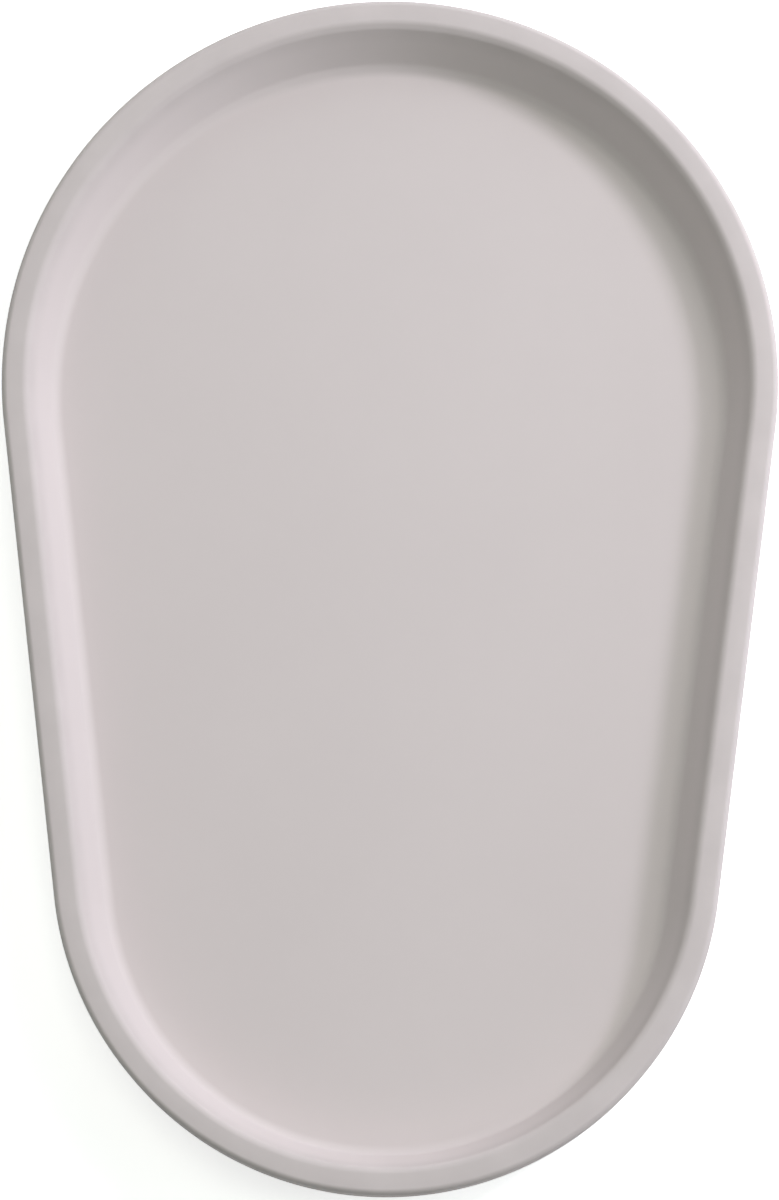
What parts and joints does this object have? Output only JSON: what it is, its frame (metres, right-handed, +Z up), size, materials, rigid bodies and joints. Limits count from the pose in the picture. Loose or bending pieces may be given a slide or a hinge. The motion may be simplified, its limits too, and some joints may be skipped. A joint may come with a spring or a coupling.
{
  "type": "foam changing mat",
  "caption": "Soft moulded foam changing mat with a raised rim round a flat bed, wide at the head and narrower at the foot, on round grip pads.",
  "frame": {"origin": "under the middle of the mat's outline, on the ground that its grip pads stand on", "axes": "+X to the right as seen from above with the head end away, +Y towards the wide head end, +Z up out of the bed"},
  "size_m": [0.481, 0.74, 0.065],
  "materials": {
    "foam_skin": "matt moulded foam skin, warm light grey",
    "soft_foam": "soft open foam, pale",
    "grip_rubber": "matt soft rubber, dark grey"
  },
  "bodies": {
    "root": {"upper_skin": "foam_skin", "base_skin": "foam_skin", "foam_core": "soft_foam", "grip_pad_head_left": "grip_rubber", "grip_pad_head_middle": "grip_rubber", "grip_pad_head_right": "grip_rubber", "grip_pad_side_left": "grip_rubber", "grip_pad_side_right": "grip_rubber", "grip_pad_foot_left": "grip_rubber", "grip_pad_foot_middle": "grip_rubber", "grip_pad_foot_right": "grip_rubber"}
  },
  "joints": []
}
